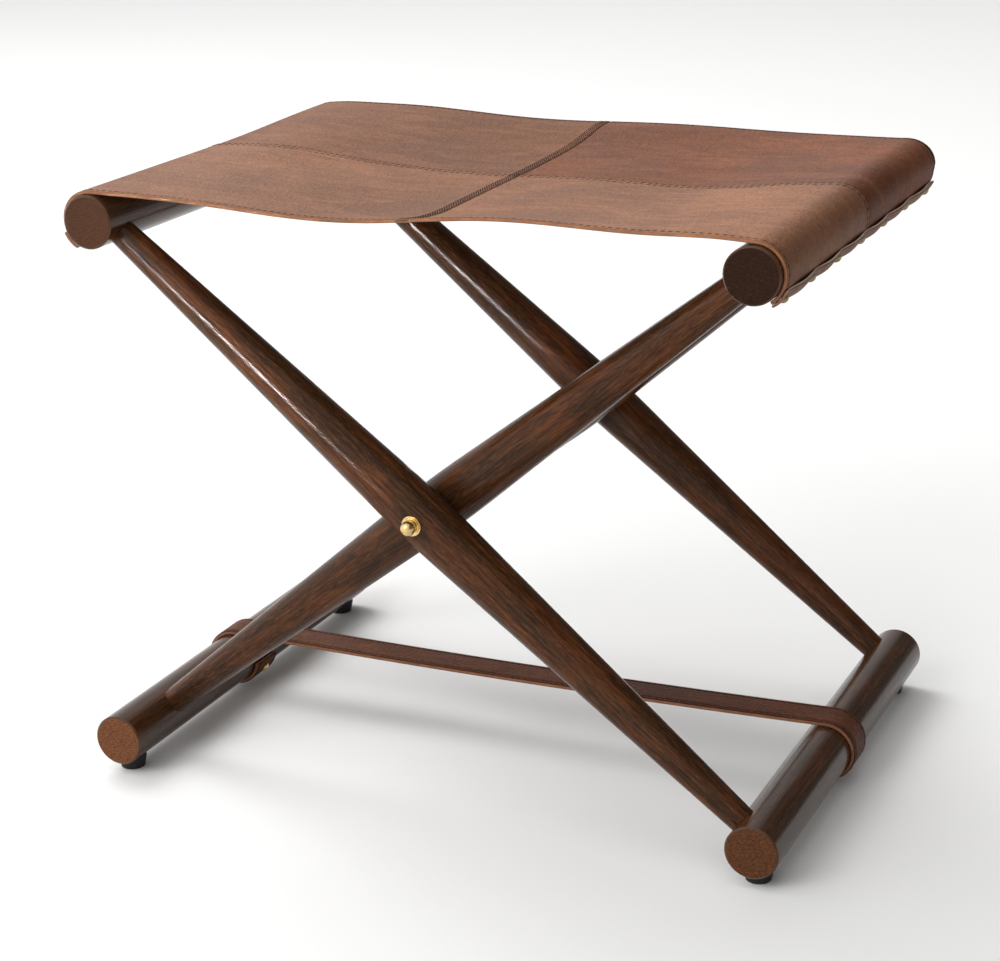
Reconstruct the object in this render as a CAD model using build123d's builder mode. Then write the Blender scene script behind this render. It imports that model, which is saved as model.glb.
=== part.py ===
"""Folding X-frame camp stool: two wooden frames on one pivot axis, with a leather sling seat.

Millimetres. X runs from left to right, Y from front to back, Z up from the floor.
The outer frame is the top left rail, the bottom right rail and the two outer legs.
The inner frame is the top right rail, the bottom left rail and the two inner legs.
"""
import math
import os

from build123d import *

os.makedirs("parts", exist_ok=True)

# Rails
rail_radius = 20.0
rail_length = 396.0
rail_chamfer = 1.2
top_half_span = 252.0
top_axis_height = 440.0
bottom_half_span = 258.0
bottom_axis_height = 28.5

# Legs, turned fullest at the pivot, coped over the rails and tenoned into them
leg_mid_radius = 20.2
leg_taper = 0.0345
leg_rounding = 20.0
outer_leg_y = 173.0
inner_leg_y = 134.5
leg_flat = 18.75
leg_spot_face = 19.2
spot_face_margin = 0.4
cope_gap = 0.03
tenon_radius = 7.0
tenon_base = 0.5
socket_gap = 0.05
socket_base = 0.4

# Pivot hardware
bolt_radius = 3.0
fixed_bore_radius = 3.04
washer_bore_radius = 3.05
running_bore_radius = 3.06
thread_fit = 0.02
bolt_head_radius = 6.0
bolt_head_height = 3.6
bolt_head_rounding = 2.6
bolt_slot_width = 1.4
bolt_slot_depth = 1.3
bolt_past_flange = 5.0
bolt_end_room = 0.3
washer_radius = 7.5
washer_thickness = 1.2
spacer_radius = 10.0
running_gap = 0.05
nut_flange_radius = 6.5
nut_flange_thickness = 1.6
nut_flange_rounding = 0.6
nut_ball_radius = 5.4
nut_ball_offset = 5.0
nut_neck_radius = 4.5

# Feet and the screws that hold them
foot_y = 179.0
foot_top_radius = 11.0
foot_bottom_radius = 9.2
foot_rounding = 0.8
foot_recess_depth = 3.5
foot_gap = 0.2
foot_hole_radius = 2.0
foot_counterbore_radius = 4.6
foot_screw_seat = 6.0
foot_screw_head_radius = 3.7
foot_screw_head_height = 2.2
foot_screw_head_rounding = 0.7
foot_screw_radius = 1.75
foot_screw_bite = 9.0
foot_screw_cross_length = 4.4
foot_screw_cross_width = 0.9
foot_screw_cross_depth = 1.2
pilot_fit = 0.03
pilot_extra_depth = 0.2

# Leather sling, four panels lapped at two seams
leather_gap = 0.3
leather_thickness = 2.6
seat_width = 386.0
seat_sag = 8.0
lap_half_width = 4.0
lap_gap = 0.04
wrap_end_angle = 237.0

# Nailing strips and upholstery nails
strip_thickness = 2.0
strip_start_angle = 210.0
strip_gap = 0.05
nail_count = 7
nail_pitch = 61.3
nail_angle = 222.0
nail_head_radius = 3.6
nail_head_height = 2.0
nail_head_gap = 0.03
nail_shank_radius = 0.8
nail_length = 17.0
nail_fit = 0.02
nail_hole_in_strip = 0.2
nail_hole_in_leather = 0.4
nail_point = 1.5

# Stretcher strap
strap_thickness = 3.4
strap_width = 31.0
strap_sag = 3.0
strap_tail_angle = -8.0
strap_screw_angle = -30.0
strap_screw_head_radius = 4.0
strap_screw_head_height = 2.2
strap_screw_head_gap = 0.3
strap_screw_radius = 1.5
strap_screw_length = 17.0
strap_screw_hole = 0.4

# The pivot is where the straight lines between the rails cross.
leg_run = top_half_span + bottom_half_span
leg_drop = top_axis_height - bottom_axis_height
leg_length = math.hypot(leg_run, leg_drop)
upper_length = leg_length * top_half_span / leg_run
lower_length = leg_length - upper_length
pivot_height = top_axis_height - leg_drop * top_half_span / leg_run
foot_top = bottom_axis_height - rail_radius + foot_recess_depth


def finish(part, label):
    """Name a finished solid and write its file."""
    part.label = label
    export_step(part, f"parts/{label}.step")


def side_plane(hand, y, x=0.0, z=0.0):
    """A plane square to Y, whose local x runs along hand * X and local y along Z."""
    return Plane(origin=(x, y, z), x_dir=(hand, 0, 0), z_dir=(0, -hand, 0))


def radial_plane(hand, rail_x, rail_z, angle, distance):
    """A plane square to a rail's radius at an angle, with its local x along the rail."""
    direction_x = hand * math.cos(math.radians(angle))
    direction_z = math.sin(math.radians(angle))
    origin = (rail_x + direction_x * distance, 0, rail_z + direction_z * distance)
    return Plane(origin=origin, x_dir=(0, 1, 0), z_dir=(direction_x, 0, direction_z))


def across_plane(side, distance):
    """A plane on the pivot axis at a distance from the middle, facing away from the middle."""
    return Plane(origin=(0, side * distance, pivot_height), x_dir=(1, 0, 0), z_dir=(0, side, 0))


def leg_direction(hand):
    """The unit direction down a leg that runs towards hand * X."""
    return (hand * leg_run / leg_length, 0, -leg_drop / leg_length)


def socket_plane(hand, leg_y, at_top):
    """A plane on a rail's axis that faces along a leg, from the rail towards the pivot."""
    down = leg_direction(hand)
    if at_top:
        return Plane(origin=(-hand * top_half_span, leg_y, top_axis_height), z_dir=down)
    up = (-down[0], 0, -down[2])
    return Plane(origin=(hand * bottom_half_span, leg_y, bottom_axis_height), z_dir=up)


def drill_rail_for_nails(rail_x, side):
    """A row of blind holes along a top rail for the upholstery nails."""
    surface = radial_plane(-side, rail_x, top_axis_height, nail_angle, strip_outer)
    with BuildSketch(surface) as holes:
        with GridLocations(nail_pitch, 1, nail_count, 1):
            Circle(nail_shank_radius + nail_fit)
    extrude(holes.sketch, amount=-nail_length, mode=Mode.SUBTRACT)


def drill_rail_for_feet(rail_x, side):
    """Flat-bottomed recesses for the feet, and pilot holes for the foot and strap screws."""
    pilot_radius = foot_screw_radius + pilot_fit
    pilot_top = foot_top + foot_screw_bite + pilot_extra_depth
    for radius, height in ((foot_top_radius + foot_gap, foot_top), (pilot_radius, pilot_top)):
        with BuildSketch(Plane.XY) as holes:
            with Locations((rail_x, -foot_y), (rail_x, foot_y)):
                Circle(radius)
        extrude(holes.sketch, amount=height, mode=Mode.SUBTRACT)
    surface = radial_plane(-side, rail_x, bottom_axis_height, strap_screw_angle, strap_outer)
    with BuildSketch(surface) as hole:
        Circle(strap_screw_radius + nail_fit)
    extrude(hole.sketch, amount=-strap_screw_length, mode=Mode.SUBTRACT)


def make_rail(label, hand, at_top, leg_y):
    """A round rail, bored for the legs that run down towards hand * X."""
    rail_x = -hand * top_half_span if at_top else hand * bottom_half_span
    rail_z = top_axis_height if at_top else bottom_axis_height
    side = math.copysign(1, rail_x)
    with BuildPart() as rail:
        with BuildSketch(side_plane(1, rail_length / 2, rail_x, rail_z)):
            Circle(rail_radius)
        extrude(amount=rail_length)
        chamfer(rail.edges().filter_by(GeomType.CIRCLE), length=rail_chamfer)
        for end in (-1, 1):
            with BuildSketch(socket_plane(hand, end * leg_y, at_top).offset(socket_base)):
                Circle(tenon_radius + socket_gap)
            extrude(amount=2 * rail_radius, mode=Mode.SUBTRACT)
        if at_top:
            drill_rail_for_nails(rail_x, side)
        else:
            drill_rail_for_feet(rail_x, side)
    finish(rail.part, label)


def leg_radius(distance):
    """The turned leg's radius at a distance from the pivot."""
    return leg_mid_radius - leg_taper * (math.hypot(distance, leg_rounding) - leg_rounding)


def make_leg(label, hand, y, flat_side, bore):
    """A turned leg with a flat towards its partner and a spot face on its other side."""
    axis_plane = Plane(origin=(0, y, pivot_height), x_dir=leg_direction(hand), z_dir=(0, 1, 0))
    flat_plane = Plane(origin=(0, y + flat_side * leg_flat, pivot_height), z_dir=(0, flat_side, 0))
    spot_plane = Plane(origin=(0, y - flat_side * leg_spot_face, pivot_height), z_dir=(0, -flat_side, 0))
    steps = 6
    stations = [-upper_length * n / steps for n in range(steps, 0, -1)]
    stations += [lower_length * n / steps for n in range(steps + 1)]
    outline = [(distance, leg_radius(distance)) for distance in stations]
    with BuildPart() as leg:
        with BuildSketch(axis_plane):
            with BuildLine():
                Spline(*outline)
                Polyline(outline[-1], (lower_length, 0), (-upper_length, 0), outline[0])
            make_face()
        revolve(axis=Axis(axis_plane.origin, axis_plane.x_dir), revolution_arc=360)
        for x, z in (
            (-hand * top_half_span, top_axis_height),
            (hand * bottom_half_span, bottom_axis_height),
        ):
            with BuildSketch(side_plane(1, y + 2 * leg_mid_radius, x, z)):
                Circle(rail_radius + cope_gap)
            extrude(amount=4 * leg_mid_radius, mode=Mode.SUBTRACT)
        for at_top in (True, False):
            with BuildSketch(socket_plane(hand, y, at_top).offset(tenon_base)):
                Circle(tenon_radius)
            extrude(amount=1.4 * rail_radius)
        with BuildSketch(flat_plane):
            Rectangle(leg_length / 2, leg_length / 2)
        extrude(amount=leg_mid_radius, mode=Mode.SUBTRACT)
        with BuildSketch(spot_plane):
            Circle(washer_radius + spot_face_margin)
        extrude(amount=leg_mid_radius, mode=Mode.SUBTRACT)
        with BuildSketch(spot_plane):
            Circle(bore)
        extrude(amount=-3 * leg_mid_radius, mode=Mode.SUBTRACT)
    finish(leg.part, label)


# Pivot hardware, laid out outwards from the inner leg's inner face on each side.
head_washer_outer = inner_leg_y - leg_spot_face - running_gap
head_washer_inner = head_washer_outer - washer_thickness
head_inner = head_washer_inner - bolt_head_height
spacer_inner = inner_leg_y + leg_flat + running_gap
spacer_outer = outer_leg_y - leg_flat
nut_washer_inner = outer_leg_y + leg_spot_face
nut_inner = nut_washer_inner + washer_thickness
bolt_tip = nut_inner + nut_flange_thickness + bolt_past_flange


def make_washer(label, side, inner, outer, radius):
    with BuildPart() as washer:
        with BuildSketch(across_plane(side, inner)):
            Circle(radius)
            Circle(washer_bore_radius, mode=Mode.SUBTRACT)
        extrude(amount=outer - inner)
    finish(washer.part, label)


def make_bolt(label, side):
    """A slotted round-head bolt, with its head inside the inner leg and its tip in the nut."""
    along_axis = Axis((0, 0, 0), (0, side, 0))
    with BuildPart() as bolt:
        with BuildSketch(across_plane(side, head_inner)):
            Circle(bolt_head_radius)
        extrude(amount=bolt_head_height)
        fillet(bolt.edges().sort_by(along_axis)[0], radius=bolt_head_rounding)
        with BuildSketch(across_plane(side, head_washer_inner)):
            Circle(bolt_radius)
        extrude(amount=bolt_tip - head_washer_inner)
        with BuildSketch(across_plane(side, head_inner)):
            Rectangle(2 * bolt_head_radius, bolt_slot_width)
        extrude(amount=bolt_slot_depth, mode=Mode.SUBTRACT)
    finish(bolt.part, label)


def make_cap_nut(label, side):
    """A round ball nut on a thin flange, blind-bored for the bolt."""
    along_axis = Axis((0, 0, 0), (0, side, 0))
    with BuildPart() as nut:
        with BuildSketch(across_plane(side, nut_inner)):
            Circle(nut_flange_radius)
        extrude(amount=nut_flange_thickness)
        fillet(nut.edges().sort_by(along_axis)[-1], radius=nut_flange_rounding)
        with Locations((0, side * (nut_inner + nut_ball_offset), pivot_height)):
            Sphere(nut_ball_radius)
        with BuildSketch(across_plane(side, nut_inner)):
            Circle(nut_neck_radius)
        extrude(amount=nut_ball_offset)
        with BuildSketch(across_plane(side, nut_inner)):
            Circle(2 * nut_ball_radius)
        extrude(amount=-nut_ball_radius, mode=Mode.SUBTRACT)
        with BuildSketch(across_plane(side, nut_inner)):
            Circle(bolt_radius + thread_fit)
        extrude(amount=bolt_tip - nut_inner + bolt_end_room, mode=Mode.SUBTRACT)
    finish(nut.part, label)


def make_foot(label, x, y):
    """A tapered rubber disc, counterbored from below for its screw."""
    with BuildPart() as foot:
        with BuildSketch(Plane(origin=(x, y, 0), x_dir=(1, 0, 0), z_dir=(0, -1, 0))):
            with BuildLine():
                Polyline(
                    (foot_hole_radius, foot_screw_seat),
                    (foot_counterbore_radius, foot_screw_seat),
                    (foot_counterbore_radius, 0),
                    (foot_bottom_radius, 0),
                    (foot_top_radius, foot_top - foot_recess_depth),
                    (foot_top_radius, foot_top),
                    (foot_hole_radius, foot_top),
                    close=True,
                )
            make_face()
        revolve(axis=Axis((x, y, 0), (0, 0, 1)), revolution_arc=360)
        bottom_edges = foot.edges().group_by(Axis.Z)[0]
        fillet(bottom_edges.sort_by(SortBy.RADIUS)[-1], radius=foot_rounding)
    finish(foot.part, label)


def make_foot_screws(label, x):
    """The two cross-head screws of one bottom rail."""
    head_bottom = foot_screw_seat - foot_screw_head_height
    with BuildPart() as screws:
        for y in (-foot_y, foot_y):
            with BuildSketch(Plane(origin=(x, y, head_bottom))):
                Circle(foot_screw_head_radius)
            extrude(amount=foot_screw_head_height)
            with BuildSketch(Plane(origin=(x, y, foot_screw_seat))):
                Circle(foot_screw_radius)
            extrude(amount=foot_top + foot_screw_bite - foot_screw_seat)
            with BuildSketch(Plane(origin=(x, y, head_bottom))):
                Rectangle(foot_screw_cross_length, foot_screw_cross_width)
                Rectangle(foot_screw_cross_width, foot_screw_cross_length)
            extrude(amount=foot_screw_cross_depth, mode=Mode.SUBTRACT)
        rims = screws.edges().group_by(Axis.Z)[0].filter_by(GeomType.CIRCLE)
        fillet(rims, radius=foot_screw_head_rounding)
    finish(screws.part, label)


# Sling path: an arc round each top rail and one long, shallow arc between them.
sling_radius = rail_radius + leather_gap
sag_radius = (top_half_span**2 + seat_sag**2) / (2 * seat_sag)
sag_centre_z = top_axis_height + math.sqrt((sag_radius + sling_radius) ** 2 - top_half_span**2)
leave_angle = 90.0 - math.degrees(math.asin(top_half_span / (sag_radius + sling_radius)))
strip_inner = sling_radius + leather_thickness + strip_gap
strip_outer = strip_inner + strip_thickness
strap_inner = rail_radius + leather_gap
strap_outer = strap_inner + strap_thickness


def sag_turn(height, x):
    """The turn, in degrees, from the lowest point of the sag to a point at x."""
    return math.degrees(math.asin(x / (sag_radius - height)))


def sag_point(height, turn):
    """A point on the sag, at a height in the leather's thickness."""
    direction = math.radians(270.0 + turn)
    radius = sag_radius - height
    return (radius * math.cos(direction), sag_centre_z + radius * math.sin(direction))


def wrap_point(height):
    """The wrapped end of the leather, at a height in its thickness."""
    direction = math.radians(wrap_end_angle)
    radius = sling_radius + height
    return (-top_half_span + radius * math.cos(direction), top_axis_height + radius * math.sin(direction))


def sling_layer(hand, low, high, y_low, y_high, x_high, x_low=None):
    """A layer of the sling between two heights in its thickness, from x_low to x_high.

    Without x_low, the layer goes on round the rail to the leather's end."""
    start_y = y_high if hand > 0 else y_low
    with BuildSketch(side_plane(hand, start_y)) as layer:
        with BuildLine():
            for height in (low, high):
                turn_high = sag_turn(height, x_high)
                turn_low = leave_angle - 90.0 if x_low is None else sag_turn(height, x_low)
                centre = (0, sag_centre_z)
                CenterArc(centre, sag_radius - height, 270.0 + turn_low, turn_high - turn_low)
                if x_low is None:
                    centre = (-top_half_span, top_axis_height)
                    CenterArc(centre, sling_radius + height, leave_angle, wrap_end_angle - leave_angle)
            Line(*[sag_point(height, sag_turn(height, x_high)) for height in (low, high)])
            if x_low is None:
                Line(wrap_point(low), wrap_point(high))
            else:
                Line(*[sag_point(height, sag_turn(height, x_low)) for height in (low, high)])
        make_face()
    extrude(layer.sketch, amount=y_high - y_low)


def make_panel(label, hand, y_side, over_in_x, over_in_y):
    """A quarter of the seat, thinned to half where it laps its neighbours.

    over_in_x is True where it lies over its neighbour at the seam that runs front to back,
    and over_in_y where it does at the seam that runs from rail to rail."""
    full = leather_thickness
    half = full / 2
    lap = lap_half_width
    edge = seat_width / 2
    lap_x_heights = (half + lap_gap, full) if over_in_x else (0.0, half)
    lap_y_heights = (half + lap_gap, full) if over_in_y else (0.0, half)
    middle = sum(lap_x_heights) / 2
    corner_heights = (middle + lap_gap, lap_x_heights[1]) if over_in_y else (lap_x_heights[0], middle)
    main_y = (lap, edge) if y_side > 0 else (-edge, -lap)
    lap_y = (-lap + lap_gap, lap) if y_side > 0 else (-lap, lap - lap_gap)
    with BuildPart() as panel:
        sling_layer(hand, 0.0, full, *main_y, -lap)
        sling_layer(hand, *lap_x_heights, *main_y, lap - lap_gap, -lap)
        sling_layer(hand, *lap_y_heights, *lap_y, -lap)
        sling_layer(hand, *corner_heights, *lap_y, lap - lap_gap, -lap)
        surface = radial_plane(hand, -hand * top_half_span, top_axis_height, nail_angle, strip_outer)
        with BuildSketch(surface):
            with GridLocations(nail_pitch, 1, nail_count, 1):
                Circle(nail_shank_radius + nail_hole_in_leather)
        extrude(amount=-rail_radius / 2, mode=Mode.SUBTRACT)
    finish(panel.part, label)


def make_nail_strip(label, hand):
    """The narrow strip of leather that the nails go through, over the leather's end."""
    start_y = hand * seat_width / 2
    rail_x = -hand * top_half_span
    sweep = wrap_end_angle - strip_start_angle
    with BuildPart() as strip:
        with BuildSketch(side_plane(hand, start_y, rail_x, top_axis_height)):
            with BuildLine():
                inner = CenterArc((0, 0), strip_inner, strip_start_angle, sweep)
                outer = CenterArc((0, 0), strip_outer, strip_start_angle, sweep)
                Line(inner @ 0, outer @ 0)
                Line(inner @ 1, outer @ 1)
            make_face()
        extrude(amount=seat_width)
        with BuildSketch(radial_plane(hand, rail_x, top_axis_height, nail_angle, rail_radius)):
            with GridLocations(nail_pitch, 1, nail_count, 1):
                Circle(nail_shank_radius + nail_hole_in_strip)
        extrude(amount=rail_radius / 2, mode=Mode.SUBTRACT)
    finish(strip.part, label)


def add_dome_fasteners(plane, points, head_radius, head_height, shank_radius, length):
    """Domed heads standing on the plane, with pointed shanks that run back through it."""
    cap_radius = (head_radius**2 + head_height**2) / (2 * head_height)
    cap_sweep = math.degrees(math.asin(head_radius / cap_radius))
    for along in points:
        place = plane.from_local_coords((along, 0, 0))
        with BuildSketch(Plane(origin=place, x_dir=plane.y_dir, z_dir=plane.x_dir)) as outline:
            with BuildLine():
                Line((0, -length), (0, head_height))
                CenterArc((0, head_height - cap_radius), cap_radius, 90.0, -cap_sweep)
                Polyline(
                    (head_radius, 0),
                    (shank_radius, 0),
                    (shank_radius, nail_point - length),
                    (0, -length),
                )
            make_face()
        revolve(outline.sketch, axis=Axis(place, plane.z_dir), revolution_arc=360)


def make_seat_nails(label, hand):
    """The row of brass nails along one top rail."""
    nail_places = [nail_pitch * (n - (nail_count - 1) / 2) for n in range(nail_count)]
    head_seat = strip_outer + nail_head_gap
    plane = radial_plane(hand, -hand * top_half_span, top_axis_height, nail_angle, head_seat)
    with BuildPart() as nails:
        add_dome_fasteners(
            plane, nail_places, nail_head_radius, nail_head_height, nail_shank_radius, nail_length
        )
    finish(nails.part, label)


def make_strap(label):
    """One length of leather, looped round both bottom rails, with a screw in each tail."""
    sag = (bottom_half_span**2 + strap_sag**2) / (2 * strap_sag)
    centre_z = bottom_axis_height + math.sqrt((sag + strap_inner) ** 2 - bottom_half_span**2)
    leave = 90.0 - math.degrees(math.asin(bottom_half_span / (sag + strap_inner)))
    wrap = 360.0 + strap_tail_angle - leave
    tail_x = math.cos(math.radians(strap_tail_angle))
    tail_z = math.sin(math.radians(strap_tail_angle))
    with BuildPart() as strap:
        with BuildSketch(side_plane(1, strap_width / 2)):
            with BuildLine():
                for height in (0.0, strap_thickness):
                    radius = strap_inner + height
                    CenterArc((-bottom_half_span, bottom_axis_height), radius, leave, wrap)
                    CenterArc((bottom_half_span, bottom_axis_height), radius, 180.0 - leave, -wrap)
                    CenterArc((0, centre_z), sag - height, 180.0 + leave, 180.0 - 2 * leave)
                for hand in (-1, 1):
                    rail_x = hand * bottom_half_span
                    Line(
                        (rail_x - hand * strap_inner * tail_x, bottom_axis_height + strap_inner * tail_z),
                        (rail_x - hand * strap_outer * tail_x, bottom_axis_height + strap_outer * tail_z),
                    )
            make_face()
        extrude(amount=strap_width)
        for hand in (1, -1):
            rail_x = -hand * bottom_half_span
            surface = radial_plane(hand, rail_x, bottom_axis_height, strap_screw_angle, strap_outer)
            with BuildSketch(surface.offset(1)):
                Circle(strap_screw_radius + strap_screw_hole)
            extrude(amount=-rail_radius / 2, mode=Mode.SUBTRACT)
    finish(strap.part, label)


def make_strap_screw(label, hand):
    head_seat = strap_outer + strap_screw_head_gap
    rail_x = -hand * bottom_half_span
    plane = radial_plane(hand, rail_x, bottom_axis_height, strap_screw_angle, head_seat)
    with BuildPart() as strap_screw:
        add_dome_fasteners(
            plane,
            [0.0],
            strap_screw_head_radius,
            strap_screw_head_height,
            strap_screw_radius,
            strap_screw_length,
        )
    finish(strap_screw.part, label)


make_rail("top_rail_left", 1, True, outer_leg_y)
make_rail("top_rail_right", -1, True, inner_leg_y)
make_rail("bottom_rail_right", 1, False, outer_leg_y)
make_rail("bottom_rail_left", -1, False, inner_leg_y)

for side, place in ((-1, "front"), (1, "rear")):
    make_leg(f"leg_outer_{place}", 1, side * outer_leg_y, -side, fixed_bore_radius)
    make_leg(f"leg_inner_{place}", -1, side * inner_leg_y, side, running_bore_radius)
    make_bolt(f"pivot_bolt_{place}", side)
    make_washer(f"head_washer_{place}", side, head_washer_inner, head_washer_outer, washer_radius)
    make_washer(f"spacer_washer_{place}", side, spacer_inner, spacer_outer, spacer_radius)
    make_washer(f"nut_washer_{place}", side, nut_washer_inner, nut_inner, washer_radius)
    make_cap_nut(f"cap_nut_{place}", side)

make_panel("seat_panel_left_front", 1, -1, True, True)
make_panel("seat_panel_left_rear", 1, 1, True, False)
make_panel("seat_panel_right_front", -1, -1, False, True)
make_panel("seat_panel_right_rear", -1, 1, False, False)
make_strap("stretcher_strap")

for hand, place in ((1, "left"), (-1, "right")):
    make_foot(f"foot_{place}_front", -hand * bottom_half_span, -foot_y)
    make_foot(f"foot_{place}_rear", -hand * bottom_half_span, foot_y)
    make_foot_screws(f"foot_screws_{place}", -hand * bottom_half_span)
    make_nail_strip(f"nail_strip_{place}", hand)
    make_seat_nails(f"seat_nails_{place}", hand)
    make_strap_screw(f"strap_screw_{place}", hand)
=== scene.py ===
"""Looks for a folding camp stool: a leather sling seat on two crossed frames of turned wood.

Metres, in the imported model's own frame: X runs from the left rails to the right ones,
Y from front to back along the rails, and Z up from the floor.
"""
import math
import random

import bmesh
import bpy
import numpy as np
from mathutils import Matrix, Quaternion, Vector


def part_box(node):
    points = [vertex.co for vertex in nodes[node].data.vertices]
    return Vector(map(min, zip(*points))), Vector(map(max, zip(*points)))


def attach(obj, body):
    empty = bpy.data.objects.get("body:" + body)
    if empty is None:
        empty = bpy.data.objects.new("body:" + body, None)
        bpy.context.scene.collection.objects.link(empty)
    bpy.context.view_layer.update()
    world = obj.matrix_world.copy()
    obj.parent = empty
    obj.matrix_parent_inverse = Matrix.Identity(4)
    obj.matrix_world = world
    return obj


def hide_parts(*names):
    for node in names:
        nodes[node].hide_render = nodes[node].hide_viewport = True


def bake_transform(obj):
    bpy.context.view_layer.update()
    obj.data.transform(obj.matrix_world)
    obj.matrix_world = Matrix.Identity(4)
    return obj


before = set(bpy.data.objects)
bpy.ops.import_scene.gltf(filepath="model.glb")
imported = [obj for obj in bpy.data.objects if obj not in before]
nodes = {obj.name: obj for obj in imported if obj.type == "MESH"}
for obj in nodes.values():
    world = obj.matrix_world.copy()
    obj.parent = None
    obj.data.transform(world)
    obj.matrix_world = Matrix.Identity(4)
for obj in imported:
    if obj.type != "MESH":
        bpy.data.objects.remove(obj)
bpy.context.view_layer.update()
random.seed(4)

MM = 0.001


# ---------------------------------------------------------------- sizes, read from the frame

def rail_place(node):
    """The x and z of a rail's axis, and its radius."""
    low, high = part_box(node)
    return (low.x + high.x) / 2, (low.z + high.z) / 2, (high.z - low.z) / 2


top_half_span, top_axis_height, rail_radius = rail_place("top_rail_right")
bottom_half_span, bottom_axis_height, _ = rail_place("bottom_rail_right")
seat_half_width = -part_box("seat_panel_left_front")[0].y
strap_half_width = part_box("stretcher_strap")[1].y

# Leather sling. Along the leather, u runs from the middle of the seat and round the rails
leather_gap = 0.3 * MM
leather_thickness = 2.6 * MM
sling_radius = rail_radius + leather_gap
wrap_turn = math.radians(147)
sling_half_length = top_half_span + sling_radius * wrap_turn
edge_rounding = 0.55 * MM
edge_wander = 0.5 * MM
edge_wave = 31 * MM

# Where the leather stands off its rails: at the rear left corner, and round the rear right curve.
# The last pair is where it starts to lift, and where it is free of its nails.
corner_lift = 3.8 * MM
corner_reach = 38 * MM
curve_lift = 2.2 * MM
curve_reach = 14 * MM
curve_place = top_half_span + 20 * MM
nailed_slope = (top_half_span + 34 * MM, top_half_span + 26 * MM)

# Lapped seams. The upper panel lifts over the lower one and has a low ridge, and the lower one
# sinks. Each slope is two distances from the seam, between which that happens. The lap ends short
# of its half width by the clearance, and lies above the lower panel by the air.
lap_half_width = 4.0 * MM
lap_clearance = 0.04 * MM
lap_air = 0.05 * MM
lap_ridge = 0.30 * MM
lift_slope = (lap_half_width + 2.5 * MM, lap_half_width + 0.3 * MM)
ridge_slope = (lap_half_width + 3.5 * MM, 0.5 * lap_half_width)
sink_slope = (lap_half_width + 0.8 * MM, lap_half_width + 0.1 * MM)

# Stitches, and their rows as places across the seams and the distance in from the free edges.
# The stitches are closer in the rows across the seat, whose grooves have that share of the depth.
stitch_pitch = 5.3 * MM
stitch_length = 4.0 * MM
close_pitch = 3.9 * MM
close_length = 2.4 * MM
stitch_slant = 0.10
stitch_unevenness = 0.05
thread_radius = 0.45 * MM
thread_lift = 0.1 * MM
thread_dip = 0.55 * MM
across_rows = (-2.9 * MM, -1.0 * MM, 1.0 * MM, 2.9 * MM)
across_groove_share = 0.4
across_row_end = 3 * MM
along_rows = (-2.2 * MM, 2.8 * MM)
edge_row_inset = 4.2 * MM
groove_depth = 0.30 * MM
groove_width = 0.6 * MM

# Grid lines of the sling, in millimetres from a seam, a stitch row, an edge row and an edge
seam_lines = (0.5, 1.0, 1.8, 3.0, 4.1, 4.3, 4.6, 4.8, 5.3, 6.5, 7.5)
row_lines = (-0.75, -0.35, 0, 0.35, 0.75)
edge_row_lines = (-1.4, *row_lines, 1.4)
rim_lines = (0.15, 0.35, 0.6, 1.2)
sling_step = 3.0 * MM

# Nailing strips. Between the nails a strip lifts, less towards its edges, and its lower edge droops
strip_turns = (math.radians(113), math.radians(147))
strip_inner = sling_radius + leather_thickness + 0.05 * MM
strip_thickness = 2.0 * MM
strip_pinch = 0.18
strip_rounding = 0.4 * MM
strip_rim = 0.8 * MM
strip_step = 2.2 * MM
strip_lift = 1.7 * MM
upper_edge_drop = 0.2 * MM
lower_edge_drop = 1.4 * MM
lower_edge_droop = 1.2 * MM
nail_turn = math.radians(132)
nail_pitch = 61.3 * MM
nail_count = 7

# Stretcher strap
strap_thickness = 3.4 * MM
strap_radius = rail_radius + leather_gap
strap_sag = 3.0 * MM
strap_tail_turn = math.radians(262)
strap_half_length = bottom_half_span + strap_radius * strap_tail_turn
strap_rounding = 0.8 * MM
strap_rim_lines = (0.2, 0.5, 1.0, 2.2, 2.7, 3.2, 3.7, 4.4)
strap_steps = (3.0 * MM, 3.5 * MM)
strap_row_inset = 3.2 * MM
strap_row_end = 4 * MM
strap_groove_depth = 0.35 * MM
strap_groove_width = 0.7 * MM

# Dips and swells of the seat: x, y, reach along x, reach along y and height, all in millimetres
seat_swells = (
    (-25, 45, 170, 170, -8.5),
    (150, -5, 70, 140, -6.5),
    (-30, -225, 105, 170, -12.0),
    (30, -220, 110, 50, 12.0),
    (-180, 220, 100, 135, 7.5),
    (50, 180, 110, 40, 5.0),
    (-205, 15, 55, 90, 4.5),
    (235, -190, 45, 35, 2.5),
)


# ---------------------------------------------------------------- camera

camera_place = Vector((0.71267, -1.63760, 0.80184))
camera_azimuth = 0.4186
camera_elevation = 0.3193
camera_roll = -0.0190
camera_lens = 86.135


def make_camera():
    """A camera that looks down at the stool from its front right."""
    back = Vector((
        math.sin(camera_azimuth) * math.cos(camera_elevation),
        -math.cos(camera_azimuth) * math.cos(camera_elevation),
        math.sin(camera_elevation),
    ))
    level = Vector((math.cos(camera_azimuth), math.sin(camera_azimuth), 0))
    upright = back.cross(level)
    right = math.cos(camera_roll) * level + math.sin(camera_roll) * upright
    up = -math.sin(camera_roll) * level + math.cos(camera_roll) * upright
    data = bpy.data.cameras.new("camera")
    data.sensor_width = 36.0
    data.lens = camera_lens
    data.clip_start = 0.05
    data.clip_end = 200.0
    camera = bpy.data.objects.new("camera", data)
    turn = Matrix((right, up, back)).transposed().to_4x4()
    camera.matrix_world = Matrix.Translation(camera_place) @ turn
    bpy.context.scene.collection.objects.link(camera)
    bpy.context.scene.camera = camera


# ---------------------------------------------------------------- material helpers

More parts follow.
